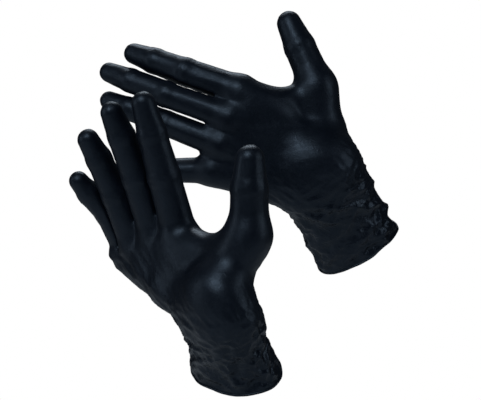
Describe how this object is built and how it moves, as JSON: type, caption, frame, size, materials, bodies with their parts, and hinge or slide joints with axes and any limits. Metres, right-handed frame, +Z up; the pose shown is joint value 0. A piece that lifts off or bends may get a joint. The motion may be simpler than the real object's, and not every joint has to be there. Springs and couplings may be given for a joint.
{
  "type": "film glove pair",
  "caption": "Pair of thin dark film gloves, hollow and open at the cuffs, in the spread shape of two worn hands.",
  "frame": {"origin": "centre of the left glove's wrist, which is the hand_seat mount", "axes": "+Z up, the gloves' longest extent together; +X towards the left glove's cuff side; -Y towards the right glove, which is in front"},
  "size_m": [0.2315, 0.244, 0.2708],
  "materials": {
    "palm_film": "satin",
    "finger_film": "satin",
    "cuff_film": "satin",
    "cuff_bead": "satin"
  },
  "bodies": {
    "left_palm": {"left_palm": "palm_film"},
    "left_cuff": {"left_cuff": "cuff_film", "left_cuff_bead": "cuff_bead"},
    "left_index_root": {"left_index_root": "finger_film"},
    "left_index_mid": {"left_index_mid": "finger_film"},
    "left_index_tip": {"left_index_tip": "finger_film"},
    "left_middle_root": {"left_middle_root": "finger_film"},
    "left_middle_mid": {"left_middle_mid": "finger_film"},
    "left_middle_tip": {"left_middle_tip": "finger_film"},
    "left_ring_root": {"left_ring_root": "finger_film"},
    "left_ring_mid": {"left_ring_mid": "finger_film"},
    "left_ring_tip": {"left_ring_tip": "finger_film"},
    "left_little_root": {"left_little_root": "finger_film"},
    "left_little_mid": {"left_little_mid": "finger_film"},
    "left_little_tip": {"left_little_tip": "finger_film"},
    "left_thumb_root": {"left_thumb_root": "finger_film"},
    "left_thumb_tip": {"left_thumb_tip": "finger_film"},
    "right_palm": {"right_palm": "palm_film"},
    "right_cuff": {"right_cuff": "cuff_film", "right_cuff_bead": "cuff_bead"},
    "right_index_root": {"right_index_root": "finger_film"},
    "right_index_mid": {"right_index_mid": "finger_film"},
    "right_index_tip": {"right_index_tip": "finger_film"},
    "right_middle_root": {"right_middle_root": "finger_film"},
    "right_middle_mid": {"right_middle_mid": "finger_film"},
    "right_middle_tip": {"right_middle_tip": "finger_film"},
    "right_ring_root": {"right_ring_root": "finger_film"},
    "right_ring_mid": {"right_ring_mid": "finger_film"},
    "right_ring_tip": {"right_ring_tip": "finger_film"},
    "right_little_root": {"right_little_root": "finger_film"},
    "right_little_mid": {"right_little_mid": "finger_film"},
    "right_little_tip": {"right_little_tip": "finger_film"},
    "right_thumb_root": {"right_thumb_root": "finger_film"},
    "right_thumb_tip": {"right_thumb_tip": "finger_film"}
  },
  "joints": [
    {"name": "left_wrist_hinge", "type": "hinge", "parent": "left_palm", "child": "left_cuff", "pos_m": [0, 0, 0], "axis": [0.8667, 0.0172, 0.4986], "range_deg": [-45, 45]},
    {"name": "left_index_root_hinge", "type": "hinge", "parent": "left_palm", "child": "left_index_root", "pos_m": [-0.061, -0.01, 0.064], "axis": [-0.329, 0.1006, -0.939], "range_deg": [-30.1, 64.9]},
    {"name": "left_index_mid_hinge", "type": "hinge", "parent": "left_index_root", "child": "left_index_mid", "pos_m": [-0.10025, -0.00492, 0.07829], "axis": [-0.329, 0.1006, -0.939], "range_deg": [-17.2, 76.8]},
    {"name": "left_index_tip_hinge", "type": "hinge", "parent": "left_index_mid", "child": "left_index_tip", "pos_m": [-0.12324, 0.00407, 0.08731], "axis": [-0.329, 0.1006, -0.939], "range_deg": [-9, 55]},
    {"name": "left_middle_root_hinge", "type": "hinge", "parent": "left_palm", "child": "left_middle_root", "pos_m": [-0.068, -0.013, 0.045], "axis": [-0.3365, 0.0994, -0.9364], "range_deg": [-30.4, 64.6]},
    {"name": "left_middle_mid_hinge", "type": "hinge", "parent": "left_middle_root", "child": "left_middle_mid", "pos_m": [-0.11338, -0.00689, 0.06195], "axis": [-0.3365, 0.0994, -0.9364], "range_deg": [-15.8, 78.2]},
    {"name": "left_middle_tip_hinge", "type": "hinge", "parent": "left_middle_mid", "child": "left_middle_tip", "pos_m": [-0.14045, 0.00313, 0.07274], "axis": [-0.3365, 0.0994, -0.9364], "range_deg": [-11.1, 52.9]},
    {"name": "left_ring_root_hinge", "type": "hinge", "parent": "left_palm", "child": "left_ring_root", "pos_m": [-0.074, -0.01, 0.026], "axis": [-0.341, 0.0988, -0.9349], "range_deg": [-32.4, 62.6]},
    {"name": "left_ring_mid_hinge", "type": "hinge", "parent": "left_ring_root", "child": "left_ring_mid", "pos_m": [-0.11542, -0.00288, 0.04186], "axis": [-0.341, 0.0988, -0.9349], "range_deg": [-10.9, 83.1]},
    {"name": "left_ring_tip_hinge", "type": "hinge", "parent": "left_ring_mid", "child": "left_ring_tip", "pos_m": [-0.14163, 0.00518, 0.05227], "axis": [-0.341, 0.0988, -0.9349], "range_deg": [-11, 53]},
    {"name": "left_little_root_hinge", "type": "hinge", "parent": "left_palm", "child": "left_little_root", "pos_m": [-0.08, -0.004, 0.007], "axis": [0.0308, 0.1444, -0.989], "range_deg": [-33.4, 61.6]},
    {"name": "left_little_mid_hinge", "type": "hinge", "parent": "left_little_root", "child": "left_little_mid", "pos_m": [-0.11597, 0.00414, 0.00707], "axis": [0.0308, 0.1444, -0.989], "range_deg": [-12.4, 81.6]},
    {"name": "left_little_tip_hinge", "type": "hinge", "parent": "left_little_mid", "child": "left_little_tip", "pos_m": [-0.13398, 0.01107, 0.00752], "axis": [0.0308, 0.1444, -0.989], "range_deg": [-7.1, 56.9]},
    {"name": "left_thumb_root_hinge", "type": "hinge", "parent": "left_palm", "child": "left_thumb_root", "pos_m": [-0.004, 0.003, 0.069], "axis": [-0.8173, -0.507, -0.2737], "range_deg": [-21.5, 42.5]},
    {"name": "left_thumb_tip_hinge", "type": "hinge", "parent": "left_thumb_root", "child": "left_thumb_tip", "pos_m": [-0.01679, 0.00775, 0.0984], "axis": [-0.8173, -0.507, -0.2737], "range_deg": [-12.3, 75.7]},
    {"name": "right_wrist_hinge", "type": "hinge", "parent": "right_palm", "child": "right_cuff", "pos_m": [-0.072, -0.161, -0.089], "axis": [-0.6938, 0.6721, 0.2588], "range_deg": [-45, 45]},
    {"name": "right_index_root_hinge", "type": "hinge", "parent": "right_palm", "child": "right_index_root", "pos_m": [-0.098, -0.131, -0.04], "axis": [0.7219, -0.6905, 0.0456], "range_deg": [-34.4, 60.6]},
    {"name": "right_index_mid_hinge", "type": "hinge", "parent": "right_index_root", "child": "right_index_mid", "pos_m": [-0.10851, -0.13934, 0.00022], "axis": [0.7219, -0.6905, 0.0456], "range_deg": [-4.5, 89.5]},
    {"name": "right_index_tip_hinge", "type": "hinge", "parent": "right_index_mid", "child": "right_index_tip", "pos_m": [-0.11574, -0.14511, 0.02721], "axis": [0.7219, -0.6905, 0.0456], "range_deg": [-7, 57]},
    {"name": "right_middle_root_hinge", "type": "hinge", "parent": "right_palm", "child": "right_middle_root", "pos_m": [-0.114, -0.119, -0.039], "axis": [0.7215, -0.6898, 0.0592], "range_deg": [-37.8, 57.2]},
    {"name": "right_middle_mid_hinge", "type": "hinge", "parent": "right_middle_root", "child": "right_middle_mid", "pos_m": [-0.12624, -0.1285, -0.00053], "axis": [0.7215, -0.6898, 0.0592], "range_deg": [-7.1, 86.9]},
    {"name": "right_middle_tip_hinge", "type": "hinge", "parent": "right_middle_mid", "child": "right_middle_tip", "pos_m": [-0.13565, -0.13612, 0.02544], "axis": [0.7215, -0.6898, 0.0592], "range_deg": [-7.7, 56.3]},
    {"name": "right_ring_root_hinge", "type": "hinge", "parent": "right_palm", "child": "right_ring_root", "pos_m": [-0.128, -0.105, -0.045], "axis": [0.7188, -0.6856, 0.1151], "range_deg": [-40.3, 54.7]},
    {"name": "right_ring_mid_hinge", "type": "hinge", "parent": "right_ring_root", "child": "right_ring_mid", "pos_m": [-0.14139, -0.11335, -0.0111], "axis": [0.7188, -0.6856, 0.1151], "range_deg": [-7.2, 86.8]},
    {"name": "right_ring_tip_hinge", "type": "hinge", "parent": "right_ring_mid", "child": "right_ring_tip", "pos_m": [-0.15158, -0.12017, 0.01187], "axis": [0.7188, -0.6856, 0.1151], "range_deg": [-10.7, 53.3]},
    {"name": "right_little_root_hinge", "type": "hinge", "parent": "right_palm", "child": "right_little_root", "pos_m": [-0.139, -0.092, -0.057], "axis": [0.7166, -0.6828, 0.1421], "range_deg": [-41.6, 53.4]},
    {"name": "right_little_mid_hinge", "type": "hinge", "parent": "right_little_root", "child": "right_little_mid", "pos_m": [-0.15228, -0.09959, -0.02646], "axis": [0.7166, -0.6828, 0.1421], "range_deg": [-10.1, 83.9]},
    {"name": "right_little_tip_hinge", "type": "hinge", "parent": "right_little_mid", "child": "right_little_tip", "pos_m": [-0.16074, -0.10515, -0.01055], "axis": [0.7166, -0.6828, 0.1421], "range_deg": [-10.4, 53.6]},
    {"name": "right_thumb_root_hinge", "type": "hinge", "parent": "right_palm", "child": "right_thumb_root", "pos_m": [-0.055, -0.168, -0.036], "axis": [0.4314, -0.8916, -0.1375], "range_deg": [-5.6, 58.4]},
    {"name": "right_thumb_tip_hinge", "type": "hinge", "parent": "right_thumb_root", "child": "right_thumb_tip", "pos_m": [-0.05483, -0.17228, -0.00773], "axis": [0.4314, -0.8916, -0.1375], "range_deg": [-10.4, 77.6]},
    {"name": "pair_slide", "type": "slide", "parent": "left_palm", "child": "right_palm", "axis": [0, -1, 0], "range_m": [0, 0.08]}
  ]
}
